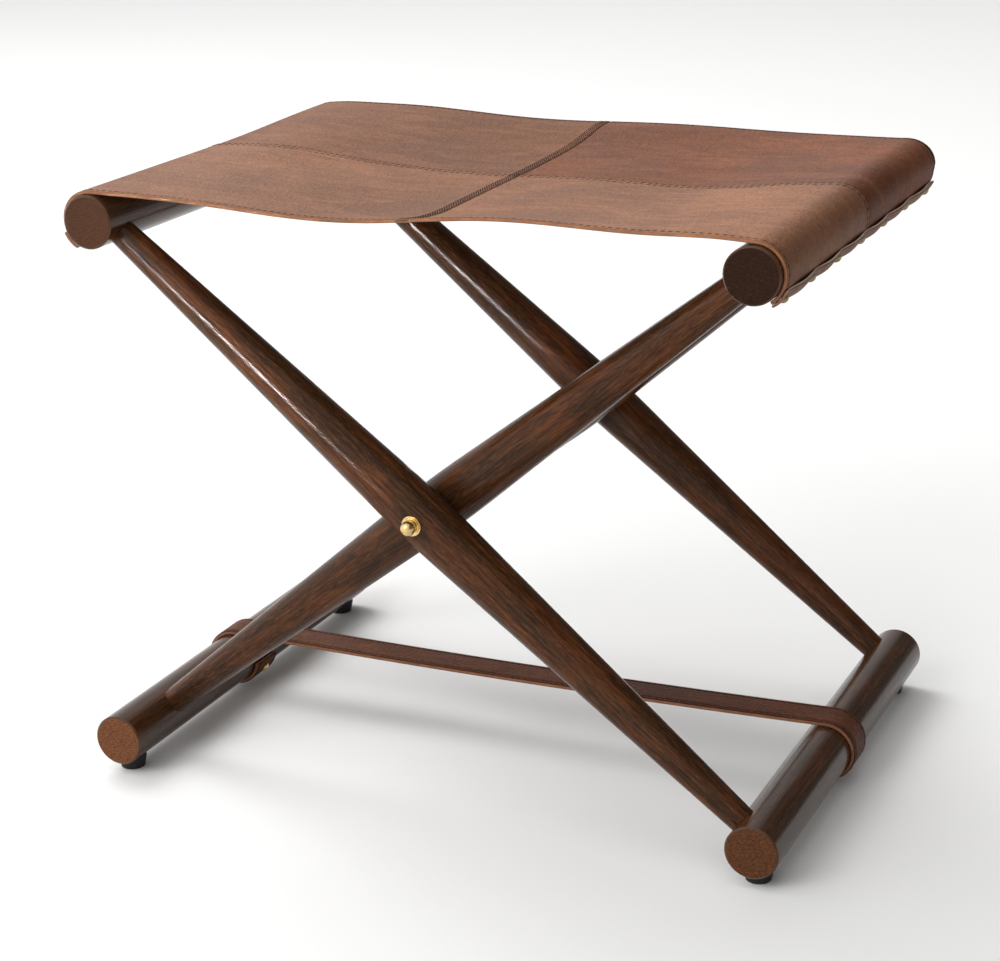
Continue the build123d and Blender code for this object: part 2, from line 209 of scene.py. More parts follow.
def add_node(tree, kind, inputs=None, **settings):
    """A node with its settings, and with each input given a value or linked to a socket."""
    node = tree.nodes.new(kind)
    for key, value in settings.items():
        setattr(node, key, value)
    for key, value in (inputs or {}).items():
        if isinstance(value, bpy.types.NodeSocket):
            tree.links.new(value, node.inputs[key])
        else:
            node.inputs[key].default_value = value
    return node


def new_material(name, **shader_inputs):
    """A material with a Principled shader, and that shader's node."""
    material = bpy.data.materials.new(name)
    material.use_nodes = True
    shader = material.node_tree.nodes["Principled BSDF"]
    for key, value in shader_inputs.items():
        shader.inputs[key.replace("_", " ")].default_value = value
    return material, material.node_tree, shader


def connect(tree, shader, **outputs):
    """Links each output to the shader's input of that name."""
    for key, value in outputs.items():
        tree.links.new(value, shader.inputs[key.replace("_", " ")])


def object_place(tree):
    """The place on the object, in metres."""
    return add_node(tree, "ShaderNodeTexCoord").outputs["Object"]


def noise(tree, vector, scale, detail=3.0, roughness=0.5, distortion=0.0):
    """A noise, with about that many cells to each unit of the vector."""
    node = add_node(
        tree, "ShaderNodeTexNoise",
        {
            "Vector": vector, "Scale": scale, "Detail": detail, "Roughness": roughness,
            "Distortion": distortion,
        },
    )
    return node.outputs["Fac"]


def stretched(tree, vector, scale, offset=(0, 0, 0)):
    """The vector with a scale for each axis, and then moved."""
    node = add_node(tree, "ShaderNodeMapping", {"Vector": vector, "Scale": scale, "Location": offset})
    return node.outputs["Vector"]


def ramp(tree, factor, *stops):
    """A colour ramp through (place, colour) stops."""
    node = add_node(tree, "ShaderNodeValToRGB", {"Fac": factor})
    elements = node.color_ramp.elements
    while len(elements) < len(stops):
        elements.new(0.5)
    for element, (place, colour) in zip(elements, stops):
        element.position = place
        element.color = (*colour, 1.0)
    return node.outputs["Color"]


def spread(tree, value, low, high, to_low=0.0, to_high=1.0):
    """The value carried from one range to another, and held inside it."""
    node = add_node(
        tree, "ShaderNodeMapRange",
        {"Value": value, "From Min": low, "From Max": high, "To Min": to_low, "To Max": to_high},
    )
    return node.outputs["Result"]


def mix(tree, factor, first, second, blend="MIX"):
    """The first colour where the factor is 0, and the second where it is 1."""
    node = add_node(
        tree, "ShaderNodeMix",
        {"Factor": factor}, data_type="RGBA", blend_type=blend, clamp_factor=True,
    )
    for socket, value in zip((node.inputs[6], node.inputs[7]), (first, second)):
        if isinstance(value, bpy.types.NodeSocket):
            tree.links.new(value, socket)
        else:
            socket.default_value = (*value, 1.0)
    return node.outputs[2]


def compute(tree, operation, *values):
    """The result of one operation on numbers or sockets."""
    node = add_node(tree, "ShaderNodeMath", operation=operation)
    for socket, value in zip(node.inputs, values):
        if isinstance(value, bpy.types.NodeSocket):
            tree.links.new(value, socket)
        else:
            socket.default_value = value
    return node.outputs["Value"]


def bump(tree, shader, height, distance):
    """Adds a bump of that height, in metres, under whatever bump the shader has already."""
    node = add_node(tree, "ShaderNodeBump", {"Height": height, "Distance": distance, "Strength": 1.0})
    old = shader.inputs["Normal"].links
    if old:
        tree.links.new(old[0].from_socket, node.inputs["Normal"])
    tree.links.new(node.outputs["Normal"], shader.inputs["Normal"])


def attribute(tree, name, output="Fac"):
    """A value that the mesh carries at its points."""
    return add_node(tree, "ShaderNodeAttribute", attribute_name=name).outputs[output]


# ---------------------------------------------------------------- wood, rubber and metal

def wood_material(name, along, offset, sheen, figure, end_tone_and_light=None):
    """Dark stained wood with its grain along a direction, and end grain on faces across it.

    sheen is its specular level, and figure is how strongly its grain shows. With no end_tone_and_light,
    which is how light the end grain is, there is none. That lightness is partly the wood's own tone and
    partly painted light."""
    material, tree, shader = new_material(name, Specular_IOR_Level=sheen)
    place = add_node(tree, "ShaderNodeTexCoord")
    turn = Vector(along).rotation_difference(Vector((1, 0, 0))).to_euler()
    turned = add_node(
        tree, "ShaderNodeMapping", {"Vector": place.outputs["Object"], "Rotation": turn, "Location": offset}
    ).outputs["Vector"]
    streaks = noise(tree, stretched(tree, turned, (18, 420, 420)), 1.0, 4.0, 0.65, 0.3)
    fibres = noise(tree, stretched(tree, turned, (80, 860, 860)), 1.0, 3.0, 0.65, 0.4)
    flecks = noise(tree, stretched(tree, turned, (120, 900, 900), (3, 1, 2)), 1.0, 2.0, 0.6, 0.5)
    mottles = noise(tree, stretched(tree, turned, (10, 58, 58), (5, 2, 7)), 1.0, 4.0, 0.6, 0.5)
    brown = ramp(
        tree, streaks,
        (0.32, (0.021, 0.0085, 0.0032)), (0.50, (0.041, 0.0170, 0.0066)), (0.68, (0.066, 0.0290, 0.0115)),
    )
    red = ramp(
        tree, streaks,
        (0.32, (0.044, 0.0135, 0.0043)), (0.50, (0.087, 0.0280, 0.0085)), (0.68, (0.138, 0.0460, 0.0150)),
    )
    colour = mix(tree, spread(tree, mottles, 0.45, 0.58, 0.0, 1.2 * figure), brown, red)
    colour = mix(tree, spread(tree, fibres, 0.51, 0.38, 0.0, 0.75 * figure), colour, (0.011, 0.006, 0.004))
    colour = mix(tree, spread(tree, flecks, 0.54, 0.66, 0.0, 0.38 * figure), colour, (0.180, 0.066, 0.026))
    if end_tone_and_light:
        normal = place.outputs["Normal"]
        product = add_node(
            tree, "ShaderNodeVectorMath", {0: normal, 1: Vector(along)}, operation="DOT_PRODUCT"
        )
        facing = compute(tree, "ABSOLUTE", product.outputs["Value"])
        rays = noise(tree, stretched(tree, turned, (600, 420, 1100)), 1.0, 3.0, 0.65, 0.4)
        rings = add_node(
            tree, "ShaderNodeTexWave",
            {"Vector": stretched(tree, turned, (0, 1, 1), (0, 0.03, 0.06)), "Scale": 95.0, "Distortion": 7.0,
             "Detail": 2.0, "Detail Scale": 30.0},
            wave_type="RINGS", rings_direction="X",
        )
        end = ramp(
            tree, rays,
            (0.30, [end_tone_and_light * c for c in (0.052, 0.019, 0.008)]),
            (0.52, [end_tone_and_light * c for c in (0.100, 0.038, 0.016)]),
            (0.72, [end_tone_and_light * c for c in (0.165, 0.066, 0.028)]),
        )
        ring_tone = [end_tone_and_light * c for c in (0.040, 0.014, 0.007)]
        end = mix(tree, spread(tree, rings.outputs["Fac"], 0.0, 1.0, 0.0, 0.28), end, ring_tone)
        colour = mix(tree, spread(tree, facing, 0.25, 0.6), colour, (0.066, 0.027, 0.012))
        colour = mix(tree, spread(tree, facing, 0.86, 0.95), colour, end)
        connect(tree, shader, Specular_IOR_Level=spread(tree, facing, 0.86, 0.95, sheen, 0.08))
    connect(tree, shader, Base_Color=colour, Roughness=spread(tree, fibres, 0.35, 0.65, 0.26, 0.15))
    bump(tree, shader, fibres, 0.00010 * figure)
    bump(tree, shader, mottles, 0.0003 * figure)
    return material


def metal_material(name, colour, dull, roughness):
    """Polished or plain metal with fine scratches and a little tarnish."""
    material, tree, shader = new_material(name, Metallic=1.0)
    place = object_place(tree)
    tarnish = noise(tree, place, 420.0, 4.0, 0.6)
    scratches = noise(tree, stretched(tree, place, (900, 5000, 900)), 1.0, 2.0)
    tone = mix(tree, spread(tree, tarnish, 0.45, 0.75, 0.0, 0.7), colour, dull)
    gloss = spread(tree, tarnish, 0.3, 0.7, roughness, 2.0 * roughness)
    connect(tree, shader, Base_Color=tone, Roughness=gloss)
    bump(tree, shader, scratches, 0.00001)
    return material


def rubber_material():
    """Matt black rubber with a fine moulded texture."""
    material, tree, shader = new_material("black_rubber", Specular_IOR_Level=0.35)
    place = object_place(tree)
    speckle = noise(tree, place, 1400.0, 2.0)
    dust = noise(tree, place, 160.0, 4.0, 0.6)
    tone = mix(tree, spread(tree, dust, 0.45, 0.75, 0.0, 0.6), (0.010, 0.010, 0.011), (0.035, 0.033, 0.031))
    connect(tree, shader, Base_Color=tone, Roughness=spread(tree, dust, 0.3, 0.7, 0.55, 0.8))
    bump(tree, shader, speckle, 0.00008)
    return material


# ---------------------------------------------------------------- leather

def leather_material(name, light, dark, offset, sheen=0.10):
    """Waxed leather: pull-up patches, faint streaks, pores and fine creases.

    sheen is its specular level, which is lower where the mesh's burnish is higher. That value also darkens
    the colour: wear, and painted shade where the seat turns round the rails."""
    material, tree, shader = new_material(name, Specular_IOR_Level=sheen)
    flat = stretched(tree, attribute(tree, "flat", "Vector"), (1, 1, 1), offset)
    patches = noise(tree, flat, 9.0, 5.0, 0.6, 0.5)
    streaks = noise(tree, stretched(tree, flat, (13, 46, 13)), 1.0, 4.0, 0.6, 1.3)
    mottles = noise(tree, flat, 110.0, 5.0, 0.7)
    grain = noise(tree, stretched(tree, flat, (430, 500, 430)), 1.0, 2.0, 0.6, 0.8)
    creases = noise(tree, stretched(tree, flat, (130, 190, 130)), 1.0, 3.0, 0.6, 1.6)
    pores = add_node(tree, "ShaderNodeTexVoronoi", {"Vector": flat, "Scale": 430.0}, feature="F1")
    tone = mix(tree, spread(tree, patches, 0.38, 0.60), dark, light)
    tone = mix(tree, spread(tree, streaks, 0.50, 0.66, 0.0, 0.50), tone, [1.30 * c for c in light])
    tone = mix(tree, spread(tree, streaks, 0.47, 0.33, 0.0, 0.45), tone, [0.80 * c for c in dark])
    tone = mix(tree, spread(tree, mottles, 0.58, 0.38, 0.0, 0.30), tone, [0.62 * c for c in dark])
    tone = mix(tree, spread(tree, grain, 0.50, 0.38, 0.0, 0.35), tone, [0.55 * c for c in dark])
    tone = mix(tree, spread(tree, grain, 0.52, 0.63, 0.0, 0.28), tone, [1.40 * c for c in light])
    # Darker with the mesh's burnish: wear, and painted shade where the seat turns round the rails.
    tone = mix(tree, attribute(tree, "burnish"), tone, [0.30 * c for c in dark])
    connect(tree, shader, Base_Color=tone, Roughness=spread(tree, patches, 0.3, 0.7, 0.42, 0.56))
    gleam = spread(tree, attribute(tree, "burnish"), 0.0, 0.5, sheen, 0.25 * sheen)
    connect(tree, shader, Specular_IOR_Level=gleam)
    bump(tree, shader, pores.outputs["Distance"], 0.00032)
    bump(tree, shader, creases, 0.00060)
    bump(tree, shader, mottles, 0.00035)
    return material


def cut_edge_material(name, light, dark):
    """The raw, lightly burnished cut edge of the leather, with its fibres."""
    material, tree, shader = new_material(name)
    flat = attribute(tree, "flat", "Vector")
    fibres = noise(tree, stretched(tree, flat, (900, 900, 2600)), 1.0, 3.0, 0.6)
    patches = noise(tree, flat, 60.0, 4.0, 0.6)
    tone = mix(tree, spread(tree, patches, 0.35, 0.65), dark, light)
    tone = mix(tree, spread(tree, fibres, 0.62, 0.38, 0.0, 0.5), tone, [0.5 * c for c in dark])
    connect(tree, shader, Base_Color=tone, Roughness=spread(tree, fibres, 0.3, 0.7, 0.5, 0.75))
    bump(tree, shader, fibres, 0.00015)
    return material


def flesh_side_material(name, light, dark):
    """The brushed underside of the leather."""
    material, tree, shader = new_material(name, Sheen_Weight=0.25, Sheen_Roughness=0.5)
    flat = attribute(tree, "flat", "Vector")
    nap = noise(tree, stretched(tree, flat, (700, 1500, 900)), 1.0, 4.0, 0.7)
    patches = noise(tree, flat, 25.0, 5.0, 0.6)
    tone = mix(tree, spread(tree, patches, 0.35, 0.65), dark, light)
    tone = mix(tree, spread(tree, nap, 0.6, 0.4, 0.0, 0.4), tone, [0.5 * c for c in dark])
    connect(tree, shader, Base_Color=tone, Roughness=spread(tree, nap, 0.3, 0.7, 0.75, 0.95))
    bump(tree, shader, nap, 0.00025)
    return material


def thread_material():
    """Waxed dark thread, finely flecked."""
    material, tree, shader = new_material("waxed_thread", Specular_IOR_Level=0.1)
    place = object_place(tree)
    flecks = noise(tree, place, 2200.0, 2.0)
    tone = mix(tree, spread(tree, flecks, 0.3, 0.7), (0.012, 0.007, 0.005), (0.040, 0.022, 0.014))
    connect(tree, shader, Base_Color=tone, Roughness=spread(tree, flecks, 0.3, 0.7, 0.45, 0.65))
    bump(tree, shader, flecks, 0.0001)
    return material


# ---------------------------------------------------------------- mesh helpers

def smooth_step(value, low, high):
    """0 at low, 1 at high, and an even curve between them. high may be the smaller one."""
    t = np.clip((value - low) / (high - low), 0, 1)
    return t * t * (3 - 2 * t)


def rounded_drop(inside, rounding):
    """How far a rounded edge falls away, at a distance inside it."""
    return rounding - np.sqrt(np.maximum(0, rounding ** 2 - np.maximum(0, rounding - inside) ** 2))


def grid_lines(start, end, step, details):
    """Places from start to end, at most a step apart, that include the details between them."""
    marks = sorted({start, end, *(d for d in details if start < d < end)})
    places = [marks[0]]
    for low, high in zip(marks, marks[1:]):
        count = max(1, math.ceil((high - low) / step - 1e-6))
        places += [low + (high - low) * n / count for n in range(1, count + 1)]
    return np.array(places)


def link_mesh(name, points, faces, face_slots, materials, **attributes):
    """A smooth-shaded object from a closed mesh, with its normals facing out."""
    mesh = bpy.data.meshes.new(name)
    mesh.from_pydata([tuple(p) for p in points], [], faces)
    mesh.polygons.foreach_set("material_index", face_slots)
    for key, values in attributes.items():
        kind, field = ("FLOAT_VECTOR", "vector") if values.ndim == 2 else ("FLOAT", "value")
        layer = mesh.attributes.new(key, kind, "POINT")
        layer.data.foreach_set(field, values.astype(np.float32).ravel())
    work = bmesh.new()
    work.from_mesh(mesh)
    bmesh.ops.recalc_face_normals(work, faces=work.faces)
    work.to_mesh(mesh)
    work.free()
    mesh.polygons.foreach_set("use_smooth", [True] * len(mesh.polygons))
    mesh.set_sharp_from_angle(angle=math.radians(48))
    for material in materials:
        mesh.materials.append(material)
    made = bpy.data.objects.new(name, mesh)
    bpy.context.scene.collection.objects.link(made)
    return made


def grid_solid(name, outer, inner, flat, burnish, materials):
    """A closed sheet from an outer and an inner grid of points, walled along its four edges.

    The materials are those of the outer face, the walls and the inner face, and a fourth one is
    that of the wall along the first row."""
    rows, columns = outer.shape[:2]
    index = np.arange(rows * columns).reshape(rows, columns)
    under = index + rows * columns
    corners = (index[:-1, :-1], index[1:, :-1], index[1:, 1:], index[:-1, 1:])
    faces = np.stack([c.ravel() for c in corners], axis=1).tolist()
    corners = (under[:-1, :-1], under[:-1, 1:], under[1:, 1:], under[1:, :-1])
    inner_faces = np.stack([c.ravel() for c in corners], axis=1).tolist()
    ring = [*index[0, :], *index[1:, -1], *index[-1, -2::-1], *index[-2:0:-1, 0]]
    walls = []
    for a, b in zip(ring, ring[1:] + ring[:1]):
        walls.append([int(a), int(b), int(b) + rows * columns, int(a) + rows * columns])
    slots = [0] * len(faces) + [2] * len(inner_faces) + [1] * len(walls)
    if len(materials) > 3:
        first_wall = len(faces) + len(inner_faces)
        slots[first_wall:first_wall + columns - 1] = [3] * (columns - 1)
    points = np.concatenate([outer.reshape(-1, 3), inner.reshape(-1, 3)])
    flat = np.concatenate([flat.reshape(-1, 3), flat.reshape(-1, 3) + (0, 0, leather_thickness)])
    burnish = np.concatenate([burnish.ravel(), burnish.ravel()])
    return link_mesh(name, points, faces + inner_faces + walls, slots, materials, flat=flat, burnish=burnish)


def stitch_mesh(name, rows, material):
    """Separate stitches, thin at their ends, which dip into the leather.

    Each row is a list of (middle, the vector from end to end, outward)."""
    rings = 7
    sides = 6
    points = []
    faces = []
    for middle, end_to_end, outward in [stitch for row in rows for stitch in row]:
        sideways = end_to_end.cross(outward).normalized()
        start = len(points)
        for ring in range(rings):
            t = -1 + 2 * ring / (rings - 1)
            swell = math.sqrt(max(0.0, 1 - (0.97 * t) ** 4))
            radius = thread_radius * (0.45 + 0.55 * swell)
            centre = middle + end_to_end * (t / 2) + outward * (thread_lift - thread_dip * t ** 4)
            for side in range(sides):
                angle = 2 * math.pi * side / sides
                round_thread = sideways * (radius * math.cos(angle)) + outward * (radius * math.sin(angle))
                points.append(centre + round_thread)
        for ring in range(rings - 1):
            for side in range(sides):
                a = start + ring * sides + side
                b = start + ring * sides + (side + 1) % sides
                faces.append([a, b, b + sides, a + sides])
        faces.append([start + side for side in range(sides)])
        faces.append([start + (rings - 1) * sides + side for side in range(sides)])
    return link_mesh(name, points, faces, [0] * len(faces), [material])


# ---------------------------------------------------------------- the seat's shape

def seat_height(x, y):
    """How far the sling lies above or below a flat band between the rail tops."""
    held = np.clip(1 - (np.abs(x) / top_half_span) ** 8, 0, 1)
    total = 0
    for centre_x, centre_y, reach_x, reach_y, height in seat_swells:
        across = (x / MM - centre_x) / reach_x
        along = (y / MM - centre_y) / reach_y
        total = total + height * MM * np.exp(-across ** 2 - along ** 2)
    return held * total


def looseness(u, y):
    """How far the leather stands off its rails, which it does more towards the rear."""
    corner = smooth_step(y, 0, seat_half_width) * np.exp(-((u + top_half_span) / corner_reach) ** 2)
    curve = smooth_step(y, -0.6 * seat_half_width, seat_half_width)
    curve = curve * np.exp(-((u - curve_place) / curve_reach) ** 2)
    return smooth_step(np.abs(u), *nailed_slope) * (corner_lift * corner + curve_lift * curve)


def sling_point(u, y):
    """A point of the sling's inner face, u along the leather and y across it."""
    side = np.sign(u)
    turn = np.maximum(np.abs(u) - top_half_span, 0) / sling_radius
    radius = sling_radius + looseness(u, y)
    x = side * (np.minimum(np.abs(u), top_half_span) + radius * np.sin(turn))
    z = top_axis_height + radius * np.cos(turn) + seat_height(np.clip(u, -top_half_span, top_half_span), y)
    return np.stack([x, y + 0 * x, z], axis=-1)


def sling_frame(u, y):
    """The inner face's point, its direction along u and its outward normal."""
    small = 0.25 * MM
    point = sling_point(u, y)
    along = sling_point(u + small, y) - sling_point(u - small, y)
    across = sling_point(u, y + small) - sling_point(u, y - small)
    outward = np.cross(along, across)
    outward /= np.linalg.norm(outward, axis=-1, keepdims=True)
    along /= np.linalg.norm(along, axis=-1, keepdims=True)
    return point, along, outward


def rows_near(u, y):
    """0 away from the stitch rows, 1 on a row along the leather and less on a row across it."""
    near = 0 * u
    for row in across_rows:
        near = np.maximum(near, across_groove_share * np.exp(-((u - row) / groove_width) ** 2))
    for row in (*along_rows, edge_row_inset - seat_half_width, seat_half_width - edge_row_inset):
        near = np.maximum(near, np.exp(-((y - row) / groove_width) ** 2))
    return near


def lap(low, high, distance, over):
    """A panel's lower and upper heights near a seam, where it lies over or under its neighbour.

    distance is measured from the seam into the panel, and is negative past the seam."""
    middle = (low + high) / 2
    if over:
        lifted = smooth_step(distance, *lift_slope)
        raised = smooth_step(distance, *ridge_slope)
        return low + (middle + lap_air - low) * lifted, high + lap_ridge * raised
    sunk = smooth_step(distance, *sink_slope)
    return low, high + (middle - high) * sunk


def panel_heights(u, y, side_x, side_y):
    """Heights of a panel's two faces above the sling's inner face."""
    low, high = lap(0 * u, 0 * u + leather_thickness, side_x * u, side_x < 0)
    low, high = lap(low, high, side_y * y, side_y < 0)
    return low, high - groove_depth * rows_near(u, y)


def panel_grid(side_x, side_y):
    """A panel's places u and y as two grids, and each one's distance from the panel's nearest edge."""
    lap_end = lap_half_width - lap_clearance
    ends_u = sorted((-side_x * lap_end, side_x * sling_half_length))
    ends_y = sorted((-side_y * lap_end, side_y * seat_half_width))
    details = [0.0]
    for distance in seam_lines:
        details += [-distance * MM, distance * MM]
    for row in across_rows + along_rows:
        details += [row + distance * MM for distance in row_lines]
    details_u = details + [side_x * top_half_span]
    edge_row = side_y * (seat_half_width - edge_row_inset)
    details_y = details + [edge_row + distance * MM for distance in edge_row_lines]
    for distance in rim_lines:
        details_u += [ends_u[0] + distance * MM, ends_u[1] - distance * MM]
        details_y += [ends_y[0] + distance * MM, ends_y[1] - distance * MM]
    u_lines = grid_lines(*ends_u, sling_step, details_u)
    y_lines = grid_lines(*ends_y, sling_step, details_y)
    u, y = np.meshgrid(u_lines, y_lines, indexing="ij")
    inside = np.minimum(np.minimum(u - ends_u[0], ends_u[1] - u), np.minimum(y - ends_y[0], ends_y[1] - y))
    return u, y, inside


def seat_burnish(u, y, inside):
    """How dark the leather is, from 0 to 1, at a distance inside its panel's edge: darker along its stitch
    grooves, worn near its edges, darker in the middle and along the rear edge, and painted shade where it
    turns down round the rails.
    """
    on_rows = 0.30 * rows_near(u, y)
    on_edges = 0.25 * smooth_step(inside, 0.9 * MM, 0.1 * MM)
    in_middle = 0.12 * smooth_step(np.abs(u), 190 * MM, 40 * MM)
    # Painted shade: the leather that turns down round the rails faces away from the light.
    painted_shade_round_rails = 0.48 * smooth_step(np.abs(u), top_half_span - 8 * MM, top_half_span + 22 * MM)
    at_rear_edge = 0.70 * smooth_step(y, seat_half_width - 4.5 * MM, seat_half_width - 2.0 * MM)
    return np.clip(on_rows + on_edges + in_middle + painted_shade_round_rails + at_rear_edge, 0, 1)


def seat_panel(place, side_x, side_y, materials):
    """A quarter of the seat, from its laps to its free edge and its end round the rail."""
    u, y, inside = panel_grid(side_x, side_y)
    low, high = panel_heights(u, y, side_x, side_y)
    drop = rounded_drop(inside, edge_rounding)
    wander = side_y * edge_wander * np.sin(u / edge_wave + 2 * side_x)
    wander = wander * smooth_step(np.abs(y), 0.6 * seat_half_width, seat_half_width)
    point, _, outward = sling_frame(u, y + wander)
    outer = point + outward * (high - drop)[..., None]
    inner = point + outward * (low + 0.6 * drop)[..., None]
    flat = np.stack([u, y, 0 * u], axis=-1)
    panel = grid_solid(f"seat_leather_{place}", outer, inner, flat, seat_burnish(u, y, inside), materials)
    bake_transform(panel)
    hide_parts(f"seat_panel_{place}")
    return panel


def top_height(u, y):
    """The height of the leather that lies uppermost at a place."""
    side_x = -1 if u < lap_half_width else 1
    side_y = -1 if y < lap_half_width else 1
    return panel_heights(np.array(u), np.array(y), side_x, side_y)[1]


def stitches_between(start, end, pitch, length):
    """Stitches along a straight row in the flat leather, from start to end."""
    start = np.array(start)
    reach = np.array(end) - start
    runs_along = abs(reach[0]) > abs(reach[1])
    count = int(np.linalg.norm(reach) / pitch)
    made = []
    for n in range(count):
        u, y = start + reach * (n + 0.5 + random.uniform(-stitch_unevenness, stitch_unevenness)) / count
        point, along, outward = sling_frame(np.array(u), np.array(y))
        middle = Vector(point + outward * top_height(u, y))
        outward = Vector(outward)
        direction = Vector(along) if runs_along else Vector((0, 1, 0))
        slant = random.uniform(-stitch_slant, stitch_slant)
        direction = (direction - outward * direction.dot(outward)).normalized()
        direction = (direction + direction.cross(outward) * slant).normalized()
        made.append((middle, direction * length, outward))
    return made


def seat_stitching(material):
    """The rows of stitches at the seams and beside the free edges, which end just above the strips."""
    reach = top_half_span + sling_radius * (strip_turns[0] - math.radians(1))
    across_reach = seat_half_width - across_row_end
    rows = []
    for u in across_rows:
        rows.append(stitches_between((u, -across_reach), (u, across_reach), close_pitch, close_length))
    for y in (*along_rows, edge_row_inset - seat_half_width, seat_half_width - edge_row_inset):
        rows.append(stitches_between((-reach, y), (reach, y), stitch_pitch, stitch_length))
    stitching = stitch_mesh("seat_stitching", rows, material)
    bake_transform(stitching)


# ---------------------------------------------------------------- nailing strips

def nail_strip(place, side, body, materials):
    """The strip over the leather's end: tight at each nail, and standing off between them."""
    nails = [nail_pitch * (n - (nail_count - 1) / 2) for n in range(nail_count)]
    y_lines = grid_lines(-seat_half_width, seat_half_width, strip_step, nails)
    turn_lines = np.linspace(*strip_turns, 19)
    turn, y = np.meshgrid(turn_lines, y_lines, indexing="ij")
    loose = np.abs(np.sin(math.pi * y / nail_pitch)) ** 1.3
    upper = smooth_step(turn, nail_turn, strip_turns[0])
    lower = smooth_step(turn, nail_turn, strip_turns[1])
    lift = loose * (strip_lift - upper_edge_drop * upper - lower_edge_drop * lower)
    angle = turn + loose * lower_edge_droop / rail_radius * lower
    thickness = strip_thickness * (1 - strip_pinch + strip_pinch * loose)
    inside = np.minimum(turn - strip_turns[0], strip_turns[1] - turn) * strip_inner
    drop = strip_rounding * smooth_step(inside, strip_rim, 0)
    flat = np.stack([turn * strip_inner, y, 0 * y + side * 0.3], axis=-1)

    def around(radius):
        """The grid's points at a distance from the rail's axis."""
        x = side * (top_half_span + radius * np.sin(angle))
        z = top_axis_height + radius * np.cos(angle)
        return np.stack([x, y, z], axis=-1)

    outer = around(strip_inner + lift + thickness - drop)
    inner = around(strip_inner + lift + drop)
    burnish = 0.35 * smooth_step(inside, 1.2 * MM, 0.2 * MM)
    strip = grid_solid(f"nailing_strip_{place}", outer, inner, flat, burnish, materials)
    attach(strip, body)
    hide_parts(f"nail_strip_{place}")


# ---------------------------------------------------------------- stretcher strap

def strap_path(p):
    """The strap's inner line at a distance p from its middle, and its outward normal."""
    side = np.sign(p)
    turn = np.maximum(np.abs(p) - bottom_half_span, 0) / strap_radius
    flat_x = np.minimum(np.abs(p), bottom_half_span)
    sag = strap_sag * (1 - (flat_x / bottom_half_span) ** 2)
    slope = 2 * strap_sag * flat_x / bottom_half_span ** 2 * (np.abs(p) < bottom_half_span)
    angle = turn - np.arctan(slope)
    x = side * (flat_x + strap_radius * np.sin(turn))
    z = bottom_axis_height + strap_radius * np.cos(turn) - sag
    return x, z, side * np.sin(angle), np.cos(angle)


def strap_leather(materials):
    """The strap from rail to rail, wrapped round the outside of each one and up to its tail."""
    rim = [distance * MM for distance in strap_rim_lines]
    details_p = [sign * (strap_half_length - distance) for distance in rim for sign in (-1, 1)]
    details_y = [sign * (strap_half_width - distance) for distance in rim for sign in (-1, 1)]
    p_lines = grid_lines(-strap_half_length, strap_half_length, strap_steps[0], details_p)
    y_lines = grid_lines(-strap_half_width, strap_half_width, strap_steps[1], details_y)
    p, y = np.meshgrid(p_lines, y_lines, indexing="ij")
    inside = np.minimum(strap_half_width - np.abs(y), strap_half_length - np.abs(p))
    groove = np.exp(-((strap_half_width - np.abs(y) - strap_row_inset) / strap_groove_width) ** 2)
    drop = rounded_drop(inside, strap_rounding)
    x, z, normal_x, normal_z = strap_path(p)

    def at_height(height):
        """The grid's points at a height above the strap's inner line."""
        return np.stack([x + normal_x * height, y, z + normal_z * height], axis=-1)

    outer = at_height(strap_thickness - drop - strap_groove_depth * groove)
    inner = at_height(drop)
    flat = np.stack([p, y, 0 * y + 0.7], axis=-1)
    burnish = np.clip(0.5 * groove + 0.4 * smooth_step(inside, 1.6 * MM, 0.3 * MM), 0, 1)
    return grid_solid("stretcher_strap_leather", outer, inner, flat, burnish, materials)


def strap_stitching(thread):
    """A row of stitches beside each of the strap's long edges."""
    reach = strap_half_length - strap_row_end
    height = strap_thickness - strap_groove_depth
    count = int(2 * reach / stitch_pitch)
    rows = []
    for edge in (-1, 1):
        row = []
        for n in range(count):
            place = (-1 + 2 * (n + 0.5) / count) * reach
            x, z, normal_x, normal_z = (float(v) for v in strap_path(np.array(place)))
            y = edge * (strap_half_width - strap_row_inset)
            middle = Vector((x + normal_x * height, y, z + normal_z * height))
            end_to_end = Vector((normal_z, 0, -normal_x)) * stitch_length
            row.append((middle, end_to_end, Vector((normal_x, 0, normal_z))))
        rows.append(row)
    return stitch_mesh("strap_stitching", rows, thread)


def stretcher_strap(materials, thread):
    """The strap and its stitching, which run between their loops round the bottom rails."""
    strap = strap_leather(materials)
    stitching = strap_stitching(thread)
    for piece in (strap, stitching):
        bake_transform(piece)
    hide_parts("stretcher_strap")
    return strap, stitching


# ---------------------------------------------------------------- build the object

def paint(node, material):
    """Gives a CAD node's object one material."""
    slots = nodes[node].data.materials
    if not slots:
        slots.append(material)
    for n in range(len(slots)):
        slots[n] = material


def leg_direction(hand):
    """The direction along a leg that runs down towards hand * X."""
    run = top_half_span + bottom_half_span
    drop = top_axis_height - bottom_axis_height
    return Vector((hand * run, 0, -drop)).normalized()


